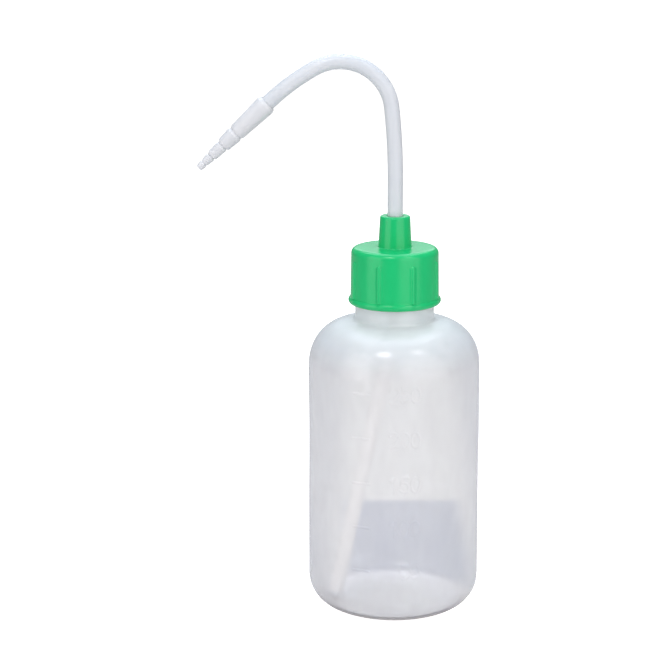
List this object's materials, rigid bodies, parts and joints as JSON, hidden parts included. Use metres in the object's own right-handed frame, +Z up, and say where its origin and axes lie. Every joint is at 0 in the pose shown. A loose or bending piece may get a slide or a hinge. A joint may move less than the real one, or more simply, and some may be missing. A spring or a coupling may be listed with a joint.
{
  "type": "wash bottle",
  "caption": "Squeezable translucent laboratory wash bottle with a green ribbed screw cap, a bent delivery tube that reaches down inside, and a stepped jet nozzle.",
  "frame": {"origin": "centre of the bottle's flat base, on the bottle's axis, where it stands", "axes": "+Z up along the bottle's axis; the bent tube and its nozzle point towards -X; the graduations face -Y"},
  "size_m": [0.1034, 0.063, 0.2062],
  "materials": {
    "bottle": "translucent natural low-density polyethylene, satin with soft highlights",
    "tube": "translucent natural polyethylene tube, smooth",
    "nozzle": "translucent natural polyethylene, moulded, smooth",
    "cap": "bright green moulded polypropylene, semi-gloss",
    "seal": "white soft sealing rubber, matte"
  },
  "bodies": {
    "bottle": {"bottle": "bottle"},
    "seal": {"sealing_ring": "seal"},
    "cap": {"screw_cap": "cap"},
    "tube": {"delivery_tube": "tube"},
    "nozzle": {"jet_nozzle": "nozzle"}
  },
  "joints": [
    {"name": "cap_lift", "type": "slide", "parent": "bottle", "child": "seal", "axis": [0, 0, 1], "range_m": [0, 0.008]},
    {"name": "cap_turn", "type": "hinge", "parent": "seal", "child": "cap", "pos_m": [0, 0, 0.126], "axis": [0, 0, 1], "range_deg": [0, 720]},
    {"name": "tube_swivel", "type": "hinge", "parent": "cap", "child": "tube", "pos_m": [0, 0, 0.1476], "axis": [0, 0, 1], "continuous": true},
    {"name": "nozzle_pull_off", "type": "slide", "parent": "tube", "child": "nozzle", "axis": [-0.729, 0, -0.6845], "range_m": [0, 0.012]}
  ],
  "couplings": [
    {"joint": "cap_lift", "follows": "cap_turn", "m_per_rad": 0.00063662}
  ]
}
